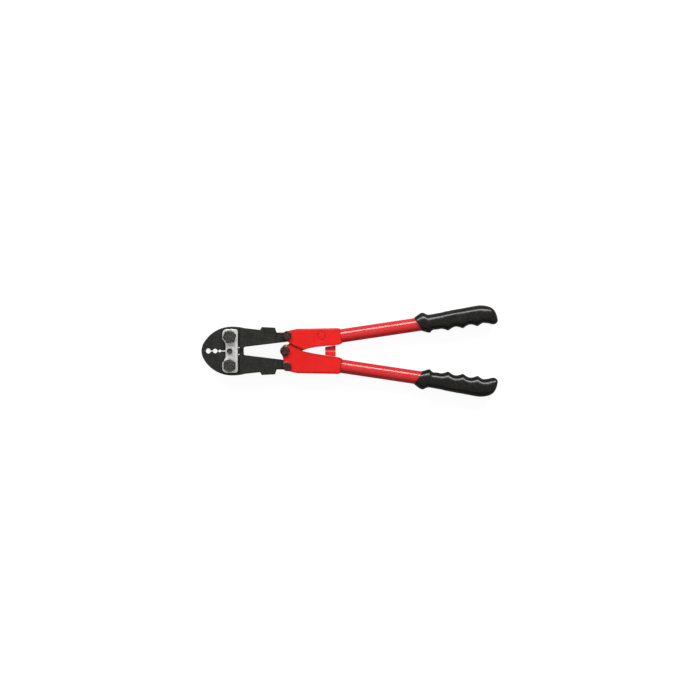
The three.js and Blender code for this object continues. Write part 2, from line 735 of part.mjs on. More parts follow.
function tube() {
  const shape = new THREE.Shape();
  shape.absarc(0, 0, tubeRadius, 0, Math.PI * 2);
  const bore = new THREE.Path();
  bore.absarc(0, 0, tubeRadius - tubeWall, 0, Math.PI * 2);
  shape.holes.push(bore);
  const options = { depth: tubeLength, bevelEnabled: false, curveSegments: 28 };
  const geometry = new THREE.ExtrudeGeometry(shape, options);
  geometry.rotateY(Math.PI / 2);
  return geometry.translate(-socketDepth, 0, 0);
}

// In-plane outline of a grip: a raised collar, a straight back, and an inner side with
// three finger swells and a hook at the end. Heights are measured from the tube's middle.
function gripOutline() {
  const front = exposedTube;
  const end = exposedTube + gripLength;
  const middle = (gripBack + gripPalm) / 2;
  const points = [
    [front, 11.4], [front + 5, 14], [front + 11.5, 16.6], [front + 15.5, 15.8],
    [front + 21, gripBack], [front + 60, middle], [end - 22, gripPalm], [end - 11, gripPalm - 3],
    [end - 4, 6], [end - 0.8, -2], [end, -10], [end - 2.2, -15.2], [end - 7, -16.8],
    [end - 14, -14.6],
  ];
  for (let i = 2; i >= 0; i -= 1) {
    const swell = front + firstSwell + i * fingerPitch;
    points.push([swell, -gripSwell - i * 0.3]);
    points.push([swell - fingerPitch / 2, -gripValley]);
  }
  points.push([front + 25, -gripValley + 0.6], [front + 19.5, -15], [front + 14, -13.4]);
  points.push([front + 8.5, -10.8]);
  const curve = new THREE.SplineCurve(points.map(([x, y]) => new THREE.Vector2(x, y)));
  return new THREE.Shape(curve.getPoints(72));
}

// A stretch of flattened round bar of the given thickness, which a grip's section is cut from
function gripSleeve(thickness, from, to) {
  const shape = new THREE.Shape();
  shape.absellipse(0, 0, thickness / 2, gripWidth / 2, 0, Math.PI * 2);
  const options = { depth: to - from, bevelEnabled: false, curveSegments: 16 };
  const geometry = new THREE.ExtrudeGeometry(shape, options);
  geometry.rotateY(Math.PI / 2);
  return solidOf(geometry.translate(from, 0, 0));
}

function grip(side) {
  const half = collarThickness / 2;
  const end = exposedTube + gripLength + 2;
  const round = join(
    gripSleeve(gripThickness, exposedTube - 1, end),
    gripSleeve(collarThickness, exposedTube + gripRecess, exposedTube + collarLength),
  );
  const hole = new THREE.CylinderGeometry(socketBore, socketBore, tubeLength, 32);
  hole.rotateZ(Math.PI / 2);
  hole.translate(tubeLength / 2 - socketDepth + faceGap, 0, 0);
  const body = prism(gripOutline(), -half, half).intersect(round);
  return onSide(geometryOf(cut(body, solidOf(hole))), side);
}

function handle(prefix, side) {
  const frame = new THREE.Group();
  frame.position.set(socketEnd.x, side * socketEnd.y, 0);
  frame.rotation.z = side * handleLean;
  tool.add(frame);
  place(`${prefix}_tube`, tube(), redEnamel(), frame);
  place(`${prefix}_grip`, grip(side), blackRubber(), frame);
}

handle('upper', upper);
handle('lower', lower);

// ---- The finished tool, standing on Z = 0 over the middle of its box ----

tool.updateMatrixWorld(true);
const box = new THREE.Box3().setFromObject(tool, true);
tool.position.set(-(box.min.x + box.max.x) / 2, -(box.min.y + box.max.y) / 2, -box.min.z);
tool.updateMatrixWorld(true);

export default tool;
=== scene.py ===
# %% [markdown]
# # A hand swager built like a pair of bolt cutters
#
# The tool lies flat on a pale table. Two forged jaws turn on big bolts between two link
# plates, their tails are pinned to pressed red brackets, and the brackets carry tube handles
# with rubber grips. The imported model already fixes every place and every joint. This
# notebook gives each piece the surface and the finish that the real one has, and leaves the
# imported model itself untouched.

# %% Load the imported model
import math

import bmesh
import bpy
import numpy as np
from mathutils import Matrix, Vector


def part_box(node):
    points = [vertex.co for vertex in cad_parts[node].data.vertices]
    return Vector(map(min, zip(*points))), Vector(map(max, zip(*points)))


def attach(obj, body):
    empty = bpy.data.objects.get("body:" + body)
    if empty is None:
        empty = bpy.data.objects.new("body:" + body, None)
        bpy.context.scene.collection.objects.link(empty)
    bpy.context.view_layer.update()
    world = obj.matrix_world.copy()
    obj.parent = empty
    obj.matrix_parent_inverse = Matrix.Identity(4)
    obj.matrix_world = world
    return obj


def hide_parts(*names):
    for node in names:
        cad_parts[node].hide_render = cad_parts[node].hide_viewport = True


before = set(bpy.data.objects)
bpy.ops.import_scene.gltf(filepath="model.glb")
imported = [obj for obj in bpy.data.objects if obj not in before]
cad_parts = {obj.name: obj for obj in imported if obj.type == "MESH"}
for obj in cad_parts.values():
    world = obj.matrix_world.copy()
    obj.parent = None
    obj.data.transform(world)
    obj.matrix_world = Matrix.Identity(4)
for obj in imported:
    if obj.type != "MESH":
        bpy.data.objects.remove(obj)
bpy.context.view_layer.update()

# %% [markdown]
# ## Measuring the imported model
#
# A new piece has to sit exactly where its plain solid is. The vertices of each solid are at
# rest in metres, so an axis, a radius or a face height is read from them instead of being
# typed again. That way a changed size in the design moves the looks with it.

# %% Read points, axes and radii from a solid
MM = 0.001
UPPER, LOWER = 1, -1
SIDES = (("upper", UPPER), ("lower", LOWER))


def solid_points(node):
    """All vertices of a solid at rest, one row each."""
    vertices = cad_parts[node].data.vertices
    flat = np.empty(len(vertices) * 3)
    vertices.foreach_get("co", flat)
    return flat.reshape(-1, 3)


def upright_axis(node):
    """x and y of a turned piece's axis, which is the middle of its box."""
    low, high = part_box(node)
    return np.array([(low.x + high.x) / 2, (low.y + high.y) / 2])


def heights(points):
    """Lowest and highest z of some points."""
    return points[:, 2].min(), points[:, 2].max()


def between_heights(points, low, high):
    """The points whose z lies between two heights."""
    return points[(points[:, 2] > low) & (points[:, 2] < high)]


def off_axis(points, axis):
    """Distance of each point from an upright axis."""
    return np.hypot(*(points[:, :2] - axis).T)


def reach(points, axis, low, high):
    """Largest distance from the axis among the points between two heights."""
    return off_axis(between_heights(points, low, high), axis).max()


mid_height = (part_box("upper_tube")[0].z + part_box("upper_tube")[1].z) / 2
jaw_axis = upright_axis("upper_jaw_nut")
link_axis = upright_axis("upper_link_nut")
pivot_axis = upright_axis("pivot_nut")
print("jaw bolts", jaw_axis / MM, "link bolts", link_axis / MM, "pivot", pivot_axis / MM)

# %% [markdown]
# ## Camera
#
# The tool is seen from straight above, with the jaws on the left. A long lens keeps the
# sides of the tall bolt heads out of sight, as they are on a catalogue picture. The lens
# is worked out from the width of table that fits across the picture.

# %% Place the camera
VIEW_WIDTH = 1.05525
VIEW_HEIGHT = 3.0
VIEW_CENTRE = (0.0005, 0.0015)
SENSOR = 36.0


def add_object(name, data):
    """A new object with the given data, put into the scene."""
    made = bpy.data.objects.new(name, data)
    bpy.context.scene.collection.objects.link(made)
    return made


camera_data = bpy.data.cameras.new("top_camera")
camera_data.sensor_width = SENSOR
camera_data.lens = SENSOR * VIEW_HEIGHT / VIEW_WIDTH
camera = add_object("top_camera", camera_data)
camera.location = (*VIEW_CENTRE, mid_height + VIEW_HEIGHT)
bpy.context.scene.camera = camera
bpy.context.scene.view_settings.view_transform = "Standard"
print("lens", round(camera_data.lens, 1), "mm")

# %% [markdown]
# ## Table and light
#
# A table for catalogue pictures is a matt, almost white sheet with light under it, so the
# surround stays white and hardly any shadow shows. The even light comes from a frame
# overhead, whose cloth is too dull to mirror in paint, so it lights colours and adds no
# gloss. One long soft box behind the tool draws a bright line along each tube and a glint on
# the bolt heads. The room round it is dim, which gives round pieces their dark edges.

# %% Make the table
def node(material, kind, **inputs):
    """A shader node with some of its input values set."""
    made = material.node_tree.nodes.new(kind)
    for name, value in inputs.items():
        made.inputs[name.replace("_", " ")].default_value = value
    return made


def wire(material, source, target):
    material.node_tree.links.new(source, target)


TABLE_HALF = 4.0
TABLE_TOP = -0.0005
SHEET_GREY = 0.20
SHEET_GLOW = 0.9

table_mesh = bpy.data.meshes.new("table")
table_corners = [(x * TABLE_HALF, y * TABLE_HALF, TABLE_TOP) for x, y in
                 ((-1, -1), (1, -1), (1, 1), (-1, 1))]
table_mesh.from_pydata(table_corners, [], [(0, 1, 2, 3)])
table = add_object("table", table_mesh)


def table_finish():
    """Matt pale sheet that is bright to the lens. It can be seen through from below and it
    lets the light from under it reach the tool."""
    made = bpy.data.materials.new("pale_table")
    made.use_nodes = True
    nodes = made.node_tree.nodes
    nodes.remove(nodes["Principled BSDF"])
    board = node(made, "ShaderNodeBsdfDiffuse", Color=(SHEET_GREY, SHEET_GREY, SHEET_GREY, 1))
    glow = node(made, "ShaderNodeEmission", Color=(1, 1, 1, 1), Strength=SHEET_GLOW)
    clear = node(made, "ShaderNodeBsdfTransparent")
    both = nodes.new("ShaderNodeAddShader")
    seen = nodes.new("ShaderNodeMixShader")
    sided = nodes.new("ShaderNodeMixShader")
    lit = nodes.new("ShaderNodeMixShader")
    path = nodes.new("ShaderNodeLightPath")
    geometry = nodes.new("ShaderNodeNewGeometry")
    wire(made, board.outputs[0], both.inputs[0])
    wire(made, glow.outputs[0], both.inputs[1])
    wire(made, path.outputs["Is Camera Ray"], seen.inputs[0])
    wire(made, board.outputs[0], seen.inputs[1])
    wire(made, both.outputs[0], seen.inputs[2])
    wire(made, geometry.outputs["Backfacing"], sided.inputs[0])
    wire(made, seen.outputs[0], sided.inputs[1])
    wire(made, clear.outputs[0], sided.inputs[2])
    wire(made, path.outputs["Is Shadow Ray"], lit.inputs[0])
    wire(made, sided.outputs[0], lit.inputs[1])
    wire(made, clear.outputs[0], lit.inputs[2])
    wire(made, lit.outputs[0], nodes["Material Output"].inputs[0])
    return made


table_mesh.materials.append(table_finish())

# %% Light the studio
DIM_BELOW = 0.1
FULL_ABOVE = 0.75


def soft_box(name, position, size, power):
    """A rectangular area light that faces the middle of the tool. Its place and size are in
    metres and its power in watts."""
    data = bpy.data.lights.new(name, "AREA")
    data.shape = "RECTANGLE"
    data.size, data.size_y = size
    data.energy = power
    light = add_object(name, data)
    light.location = position
    light.rotation_euler = Vector(position).to_track_quat("Z", "Y").to_euler()
    return light


def sky(strength, horizon, zenith):
    """Even light from all round, weaker from the sides than from above: it rises from the
    horizon's value to the zenith's between two slopes. The lens sees a white wall there
    instead."""
    world = bpy.data.worlds.new("studio")
    bpy.context.scene.world = world
    world.use_nodes = True
    nodes, links = world.node_tree.nodes, world.node_tree.links
    direction = nodes.new("ShaderNodeTexCoord")
    split = nodes.new("ShaderNodeSeparateXYZ")
    ramp = nodes.new("ShaderNodeValToRGB")
    ramp.color_ramp.elements[0].position = DIM_BELOW
    ramp.color_ramp.elements[0].color = (horizon, horizon, horizon, 1)
    ramp.color_ramp.elements[1].position = FULL_ABOVE
    ramp.color_ramp.elements[1].color = (zenith, zenith, zenith, 1)
    links.new(direction.outputs["Generated"], split.inputs[0])
    links.new(split.outputs["Z"], ramp.inputs[0])
    links.new(ramp.outputs[0], nodes["Background"].inputs["Color"])
    nodes["Background"].inputs["Strength"].default_value = strength
    wall = nodes.new("ShaderNodeBackground")
    wall.inputs["Color"].default_value = (1, 1, 1, 1)
    path = nodes.new("ShaderNodeLightPath")
    either = nodes.new("ShaderNodeMixShader")
    links.new(path.outputs["Is Camera Ray"], either.inputs[0])
    links.new(nodes["Background"].outputs[0], either.inputs[1])
    links.new(wall.outputs[0], either.inputs[2])
    links.new(either.outputs[0], nodes["World Output"].inputs["Surface"])


soft_box("rear_box", (0.0, 1.35, 1.20), (2.8, 0.55), power=50)
overhead = soft_box("overhead_frame", (0.1, 0.0, 2.6), (1.8, 1.2), power=15)
overhead.visible_glossy = False
under = soft_box("under_box", (0.0, 0.0, -2.0), (2.2, 1.6), power=14)
under.visible_glossy = False
under.visible_camera = False
sky(strength=0.26, horizon=0.10, zenith=1.0)

# %% [markdown]
# ## Finishes
#
# Each finish is a few noise patterns on the piece's own coordinates: a broad one that
# clouds the colour and a fine one that roughens the surface. Metal and paint also get a band
# along their edges: a painted highlight on zinc and painted shade elsewhere. They are written
# as small helpers, so that a finish reads as a list of what it puts on the surface. Sizes are in
# metres.

# %% Helpers for the finishes
MIX_COLOURS = (6, 7)
FLAT_DOT = 0.985
EDGE_DOT = 0.80


def shade(colour, share):
    """A colour darkened to a share of itself."""
    return tuple(share * part for part in colour)


class Finish:
    """A material with one principled shader, and helpers that add patterns to it."""

    def __init__(self, name, roughness, metallic, **fixed):
        self.material = bpy.data.materials.new(name)
        self.material.use_nodes = True
        self.shader = self.material.node_tree.nodes["Principled BSDF"]
        self.shader.inputs["Roughness"].default_value = roughness
        self.shader.inputs["Metallic"].default_value = metallic
        for socket, value in fixed.items():
            self.shader.inputs[socket.replace("_", " ")].default_value = value
        self.place = self.material.node_tree.nodes.new("ShaderNodeTexCoord")
        self.normal = None

    def stretched(self, scale):
        """Object coordinates multiplied by a scale for each direction."""
        mapping = node(self.material, "ShaderNodeMapping", Scale=scale)
        wire(self.material, self.place.outputs["Object"], mapping.inputs["Vector"])
        return mapping.outputs["Vector"]

    def noise(self, grain, detail=3.0, stretch=None):
        """Noise whose features are about one grain across, in metres."""
        made = node(self.material, "ShaderNodeTexNoise", Scale=1 / grain, Detail=detail)
        source = self.stretched(stretch) if stretch else self.place.outputs["Object"]
        wire(self.material, source, made.inputs["Vector"])
        return made.outputs["Fac"]

    def between(self, value, from_low, from_high, low, high):
        """A value mapped from one range to another and kept inside it."""
        made = node(self.material, "ShaderNodeMapRange")
        for slot, number in zip(range(1, 5), (from_low, from_high, low, high)):
            made.inputs[slot].default_value = number
        wire(self.material, value, made.inputs[0])
        return made.outputs[0]

    def blend(self, amount, first, second):
        """Two colours, or a colour over an earlier pattern, mixed by an amount."""
        made = self.material.node_tree.nodes.new("ShaderNodeMix")
        made.data_type = "RGBA"
        wire(self.material, amount, made.inputs["Factor"])
        for slot, colour in zip(MIX_COLOURS, (first, second)):
            if isinstance(colour, tuple):
                made.inputs[slot].default_value = (*colour, 1)
            else:
                wire(self.material, colour, made.inputs[slot])
        return made.outputs[2]

    def edges(self, width, strength):
        """A band of a given width along every edge, fading to 0 inside the faces. There the
        rounded normal and the real one are alike, so their dot product is 1."""
        rounded = node(self.material, "ShaderNodeBevel", Radius=width)
        geometry = self.material.node_tree.nodes.new("ShaderNodeNewGeometry")
        alike = self.material.node_tree.nodes.new("ShaderNodeVectorMath")
        alike.operation = "DOT_PRODUCT"
        wire(self.material, rounded.outputs["Normal"], alike.inputs[0])
        wire(self.material, geometry.outputs["Normal"], alike.inputs[1])
        return self.between(alike.outputs["Value"], FLAT_DOT, EDGE_DOT, 0, strength)

    def colour(self, pattern):
        wire(self.material, pattern, self.shader.inputs["Base Color"])

    def roughness(self, pattern):
        wire(self.material, pattern, self.shader.inputs["Roughness"])

    def relief(self, height, depth, strength=1.0):
        """Adds a bump of a given depth in metres on top of the bumps added before."""
        made = node(self.material, "ShaderNodeBump", Strength=strength, Distance=depth)
        wire(self.material, height, made.inputs["Height"])
        if self.normal is not None:
            wire(self.material, self.normal, made.inputs["Normal"])
        self.normal = made.outputs["Normal"]
        wire(self.material, self.normal, self.shader.inputs["Normal"])


# %% [markdown]
# ### Forged jaws, black phosphate
#
# Drop-forged steel is blasted and then dipped in hot phosphate, which leaves a dry, nearly
# black skin with a fine even grain. A darker band along the edges is painted shade, and
# lighter scale shows in specks. The grain is a bump of a few tenths of a millimetre at most,
# and the clouds come from uneven dipping.

# %% Phosphated forging
def phosphated_forging():
    made = Finish("phosphated_forging", 0.5, 0.25, Specular_IOR_Level=0.3)
    clouds = made.between(made.noise(0.012, 4), 0.35, 0.65, 0, 1)
    skin = made.blend(clouds, (0.009, 0.0092, 0.0080), (0.019, 0.0193, 0.0168))
    # Painted shade: the colour turns almost black in a band along every edge and crease
    rim = made.edges(width=0.0026, strength=0.85)
    painted_shade_rim = made.blend(rim, skin, (0.003, 0.003, 0.003))
    scale = made.between(made.noise(0.0012, 5), 0.42, 0.72, 0, 0.75)
    made.colour(made.blend(scale, painted_shade_rim, (0.048, 0.048, 0.043)))
    made.roughness(made.between(made.noise(0.004, 3), 0.3, 0.7, 0.42, 0.62))
    made.relief(made.noise(0.0014, 4), depth=0.00016)
    made.relief(made.noise(0.0060, 2), depth=0.00025, strength=0.7)
    return made.material


# %% [markdown]
# ### Zinc plate
#
# The link plates are blanked from bar, tumbled and zinc plated. The plating is a light warm
# grey with faint brush lines across the tool. Tumbling has rounded the edges, and a brighter
# band along them is a painted highlight.

# %% Brushed zinc plate
def brushed_zinc():
    made = Finish("brushed_zinc", 0.34, 0.45)
    lines = made.noise(0.0012, 3, stretch=(1.0, 0.12, 1.0))
    tone = made.between(made.noise(0.007, 4), 0.3, 0.7, 0, 1)
    plate = made.blend(tone, (0.64, 0.625, 0.595), (0.84, 0.825, 0.79))
    # Painted highlight: the colour turns almost white in a band along every edge and crease
    rim = made.edges(width=0.0018, strength=0.9)
    made.colour(made.blend(rim, plate, (0.97, 0.96, 0.94)))
    made.roughness(made.between(lines, 0.3, 0.7, 0.27, 0.44))
    made.relief(lines, depth=0.00002)
    return made.material


# %% [markdown]
# ### Oxide finishes on the bolts
#
# Bolt heads are turned and then blackened in hot salts. The turning leaves fine rings, which
# show as a silky sheen that runs round the head. The rings read a number stored on each
# vertex of a bolt, its distance from the bolt's axis. The big jaw bolts are grey-black, and
# the smaller ones have gone brown.

# %% Turned and oxidised steel
def oxidised_steel(name, dark, light, worn):
    made = Finish(name, 0.33, 0.7)
    clouds = made.between(made.noise(0.0035, 4), 0.3, 0.7, 0, 1)
    skin = made.blend(clouds, dark, light)
    # Painted shade: the colour turns almost black in a band along every edge and crease
    painted_edge_shade = made.blend(made.edges(width=0.0024, strength=0.95), skin, shade(dark, 0.1))
    spots = made.between(made.noise(0.0014, 6), 0.46, 0.76, 0, 0.8)
    made.colour(made.blend(spots, painted_edge_shade, worn))
    made.roughness(made.between(made.noise(0.0015, 3), 0.3, 0.7, 0.26, 0.42))
    distance = made.material.node_tree.nodes.new("ShaderNodeAttribute")
    distance.attribute_name = "from_axis"
    scaled = made.between(distance.outputs["Fac"], 0, 0.01, 0, 100)
    rings = made.material.node_tree.nodes.new("ShaderNodeMath")
    rings.operation = "SINE"
    wire(made.material, scaled, rings.inputs[0])
    made.relief(rings.outputs[0], depth=0.000012)
    made.relief(made.noise(0.0007, 3), depth=0.00002)
    return made.material


# %% [markdown]
# ### Red paint on the brackets and red enamel on the tubes
#
# Pressed brackets are powder coated: a satin, very even red with a trace of orange peel. The
# tubes are stoved enamel, glossier and a shade deeper, so the soft box shows on them as a
# clean line. Along the edges and in the creases the red is painted much darker: painted shade.

# %% Paint
def red_coating(name, colour, deeper, roughness, coat, peel):
    made = Finish(name, roughness, 0.0, Coat_Weight=coat, Coat_Roughness=0.07,
                  Specular_IOR_Level=0.25)
    drift = made.between(made.noise(0.03, 2), 0.3, 0.7, 0, 1)
    paint = made.blend(drift, colour, deeper)
    # Painted shade: a band along every edge and crease is darkened to a sixth of the red
    made.colour(made.blend(made.edges(width=0.0035, strength=0.9), paint, shade(colour, 0.16)))
    made.roughness(made.between(made.noise(0.006, 3), 0.3, 0.7,
                                roughness * 0.85, roughness * 1.2))
    made.relief(made.noise(0.0024, 2), depth=peel)
    return made.material


# %% [markdown]
# ### Moulded rubber
#
# The grips are moulded in one piece. The mould is spark eroded, so the rubber has a fine,
# slightly shiny grain, and it is a little paler in specks where hands have rubbed it. Real
# rubber is never pure black: this one is a warm grey of about half of one per cent.

# %% Black rubber
def moulded_rubber():
    made = Finish("moulded_rubber", 0.30, 0.0, Specular_IOR_Level=0.55)
    clouds = made.between(made.noise(0.016, 3), 0.3, 0.7, 0, 1)
    rubber = made.blend(clouds, (0.0040, 0.0037, 0.0032), (0.0080, 0.0074, 0.0064))
    rubbed = made.between(made.noise(0.0022, 3), 0.52, 0.72, 0, 0.6)
    made.colour(made.blend(rubbed, rubber, (0.030, 0.028, 0.025)))
    made.roughness(made.between(made.noise(0.005, 3), 0.3, 0.7, 0.20, 0.32))
    made.relief(made.noise(0.0011, 3), depth=0.00004)
    return made.material


# %% Make one of each finish
finishes = {
    "forged_steel": phosphated_forging(),
    "zinc_plate": brushed_zinc(),
    "black_oxide": oxidised_steel(
        "blackened_steel", (0.030, 0.029, 0.027), (0.065, 0.062, 0.058), (0.34, 0.34, 0.32)),
    "bronzed_steel": oxidised_steel(
        "browned_steel", (0.030, 0.014, 0.011), (0.070, 0.034, 0.026), (0.30, 0.19, 0.15)),
    "red_paint": red_coating(
        "powder_coat", (0.74, 0.012, 0.010), (0.66, 0.009, 0.008), 0.40, 0.0, 0.00003),
    "red_enamel": red_coating(
        "stoved_enamel", (0.66, 0.022, 0.024), (0.60, 0.018, 0.020), 0.2, 1.0, 0.000006),
    "black_rubber": moulded_rubber(),
}
print("finishes", sorted(finishes))

# %% [markdown]
# ## From rings to a closed skin
#
# Every turned or moulded piece below is computed as a stack of rings, each ring the same
# number of points round the piece. Neighbouring rings are joined by four-sided faces. The
# stack either closes on itself, as a washer does, or ends in a point at both ends. The
# volume inside tells whether the faces look outwards, and if it is negative they are turned.

# %% Turn rings into a piece
def skin(name, rings, looped=False, distance=None):
    """Mesh through an array of rings, shape (rings, points, 3): quads between neighbours,
    and a fan to the mean of the first and of the last ring unless the stack is looped. With
    an axis given as distance, each vertex also stores how far it is from that axis."""
    count, around, _ = rings.shape
    points = rings.reshape(-1, 3)
    steps = count if looped else count - 1
    ring, spot = np.meshgrid(np.arange(steps), np.arange(around), indexing="ij")
    after, beside = (ring + 1) % count, (spot + 1) % around
    quads = np.stack([ring * around + spot, ring * around + beside,
                      after * around + beside, after * around + spot], -1).reshape(-1, 4)
    fans = np.empty((0, 3), int)
    if not looped:
        points = np.vstack([points, rings[0].mean(0), rings[-1].mean(0)])
        turn = np.arange(around)
        following = (turn + 1) % around
        last = (count - 1) * around
        first_fan = np.stack([following, turn, np.full(around, count * around)], -1)
        last_fan = np.stack(
            [last + turn, last + following, np.full(around, count * around + 1)], -1)
        fans = np.vstack([first_fan, last_fan])
    triangles = np.vstack([quads[:, :3], quads[:, [0, 2, 3]], fans])
    a, b, c = (points[triangles[:, i]] for i in range(3))
    if np.einsum("ij,ij->i", a, np.cross(b, c)).sum() < 0:
        quads, fans = quads[:, ::-1], fans[:, ::-1]
    mesh = bpy.data.meshes.new(name)
    mesh.from_pydata(points.tolist(), [], quads.tolist() + fans.tolist())
    if distance is not None:
        stored = mesh.attributes.new("from_axis", "FLOAT", "POINT")
        stored.data.foreach_set("value", off_axis(points, distance).astype(np.float32))
    return add_object(name, mesh)


def soften(piece, width, segments=2, angle=28.0):
    """Rounds every edge sharper than an angle with a bevel, and shades the rest smooth."""
    piece.data.shade_smooth()
    bevel = piece.modifiers.new("rounded_edges", "BEVEL")
    bevel.width = width
    bevel.segments = segments
    bevel.limit_method = "ANGLE"
    bevel.angle_limit = math.radians(angle)
    bevel.use_clamp_overlap = False
    bevel.harden_normals = True
    return piece


def hand_over(piece, node_name, body, slot):
    """Gives a finished piece its finish and its body, and hides the solid that it stands for."""
    piece.data.materials.clear()
    piece.data.materials.append(finishes[slot])
    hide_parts(node_name)
    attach(piece, body)
    return piece


# %% [markdown]
# ## Bolts, nuts and washers
#
# A forged bolt head is a hexagon whose corners are cut back by a shallow cone, so each flat
# ends in a curved edge. Cutting a prism with a cone would do it, but the same shape has an
# easy formula: round the axis, the hexagon's radius is half its width across flats divided
# by the cosine of the angle from the nearest flat, and the cone's height falls by tan 30
# degrees with that radius.

# %% Hexagon rings
AROUND = 96
CHAMFER = math.radians(30)
CORNER_LEFT = 0.995
FLAT_SHARE = 0.94
SMALL_EDGE = 0.2 * MM
angles = np.arange(AROUND) * 2 * math.pi / AROUND


def hexagon(across, turn):
    """Radius of a hexagon at each angle, with its corners rounded by a hair."""
    from_flat = (angles - turn) % (math.pi / 3) - math.pi / 6
    return np.minimum(across / 2 / np.cos(from_flat), across / math.sqrt(3) * CORNER_LEFT)


def ring(axis, radius, height):
    """A ring round an upright axis; radius and height are numbers or one value per point."""
    radius, height = np.broadcast_arrays(np.asarray(radius, float), np.asarray(height, float))
    radius, height = radius * np.ones(AROUND), height * np.ones(AROUND)
    x = axis[0] + radius * np.cos(angles)
    y = axis[1] + radius * np.sin(angles)
    return np.stack([x, y, height], -1)


def hex_side(axis, across, turn, base, top):
    """Rings up the side of a hexagon from its base to the flat inside its chamfer. The
    direction from base to top may be up or down."""
    way = math.copysign(1, top - base)
    radius = hexagon(across, turn)
    flat = across / 2 * FLAT_SHARE
    shoulder = top - way * (radius - flat) * math.tan(CHAMFER)
    foot = base + way * SMALL_EDGE
    return [
        ring(axis, flat, base),
        ring(axis, radius - SMALL_EDGE, base),
        ring(axis, radius, foot),
        ring(axis, radius, (foot + shoulder) / 2),
        ring(axis, radius, shoulder),
        ring(axis, (radius + flat) / 2, (shoulder + top) / 2),
        ring(axis, flat, top),
    ]


def hex_turn(points, axis, low, high):
    """Angle of the hexagon's first corner, that of the farthest point between two heights."""
    between = between_heights(points, low, high)[:, :2] - axis
    far = between[np.argmax(np.hypot(*between.T))]
    return math.atan2(far[1], far[0])


# %% Bolts
NEAR = 0.1 * MM
HEAD_WIDER = 1.2
SHANK_CHAMFER = 0.18
TIP = 0.2 * MM
TURNED_EDGE = 0.15 * MM
COLLAR_HEIGHT = 1.3 * MM


def shank_and_seat(points, axis):
    """Radius of the shank at its end, and the height where the head begins, which is the
    lowest of the points well outside the shank."""
    bottom = points[:, 2].min()
    shank = reach(points, axis, bottom - MM, bottom + NEAR)
    wide = points[off_axis(points, axis) > shank * HEAD_WIDER]
    return shank, wide[:, 2].min()


def bolt(name, node_name, nut_node, body, slot, flange=0.0):
    """A hexagon head over a plain shank with a chamfered end; flange is the height of a
    round collar under the head."""
    points = solid_points(node_name)
    axis = upright_axis(nut_node)
    bottom, top = heights(points)
    shank, seat = shank_and_seat(points, axis)
    base = seat + flange
    low, high = base + NEAR, top - 3 * NEAR
    corner = reach(points, axis, low, high)
    turn = hex_turn(points, axis, low, high)
    across = corner * math.sqrt(3)
    side = hex_side(axis, across, turn, base, top)
    rings = [
        ring(axis, TIP, bottom),
        ring(axis, shank * (1 - SHANK_CHAMFER), bottom),
        ring(axis, shank, bottom + shank * SHANK_CHAMFER),
        ring(axis, shank, (bottom + seat) / 2),
        ring(axis, shank, seat),
    ]
    if flange:
        # The collar has a small corner below and a larger one above
        rim = reach(points, axis, seat - NEAR, seat + NEAR)
        rings += [ring(axis, rim - 0.2 * MM, seat), ring(axis, rim, seat + 0.25 * MM),
                  ring(axis, rim, base - 0.3 * MM), ring(axis, rim - 0.4 * MM, base)]
        side = side[1:]
    rings += side
    # Two more rings across the flat top keep its shading even
    flat = across / 2 * FLAT_SHARE
    rings += [ring(axis, flat * 0.9, top), ring(axis, flat * 0.5, top), ring(axis, TIP, top)]
    piece = skin(name, np.stack(rings), distance=axis)
    soften(piece, TURNED_EDGE, angle=20)
    print(name, "across flats", round(across / MM, 2), "mm")
    return hand_over(piece, node_name, body, slot)


for side_name, _ in SIDES:
    bolt(f"{side_name}_jaw_bolt_turned", f"{side_name}_jaw_bolt", f"{side_name}_jaw_nut",
         "head", "black_oxide")
    bolt(f"{side_name}_link_bolt_turned", f"{side_name}_link_bolt", f"{side_name}_link_nut",
         f"{side_name}_handle", "bronzed_steel")
bolt("pivot_bolt_turned", "pivot_bolt", "pivot_nut", "lower_handle", "bronzed_steel",
     flange=COLLAR_HEIGHT)

# %% [markdown]
# Nuts and washers are rings that close on themselves: out over the top face, down the
# outside, back under and up the bore. The nuts have a small countersink at each end of the
# bore, as tapped nuts do.

# %% Nuts, washers and the spacer
COUNTERSINK = 0.4 * MM
THIN_EDGE = 0.1 * MM


def bore_of(points, axis):
    """Radius of the hole, the smallest distance from the axis."""
    return off_axis(points, axis).min()


def nut(name, node_name, body, slot):
    """A hexagon with a chamfered outer face, looped round its bore."""
    points = solid_points(node_name)
    axis = upright_axis(node_name)
    bottom, top = heights(points)
    corner = reach(points, axis, bottom - MM, top + MM)
    turn = hex_turn(points, axis, bottom - MM, top + MM)
    bore = bore_of(points, axis)
    rings = hex_side(axis, corner * math.sqrt(3), turn, top, bottom)
    mouth = bore + COUNTERSINK
    rings += [ring(axis, mouth, bottom), ring(axis, bore, bottom + COUNTERSINK),
              ring(axis, bore, top - COUNTERSINK), ring(axis, mouth, top)]
    piece = skin(name, np.stack(rings), looped=True, distance=axis)
    soften(piece, TURNED_EDGE, angle=20)
    return hand_over(piece, node_name, body, slot)


def plain_ring(name, node_name, body, slot, edge=0.25 * MM):
    """A flat ring or sleeve with its edges cut back, looped round its bore."""
    points = solid_points(node_name)
    axis = upright_axis(node_name)
    bottom, top = heights(points)
    rim = reach(points, axis, bottom - MM, top + MM)
    bore = bore_of(points, axis)
    profile = [(bore, top - edge), (bore + edge, top), (rim - edge, top), (rim, top - edge),
               (rim, bottom + edge), (rim - edge, bottom), (bore + edge, bottom),
               (bore, bottom + edge)]
    rings = np.stack([ring(axis, radius, height) for radius, height in profile])
    piece = skin(name, rings, looped=True, distance=axis)
    soften(piece, THIN_EDGE, angle=20)
    return hand_over(piece, node_name, body, slot)


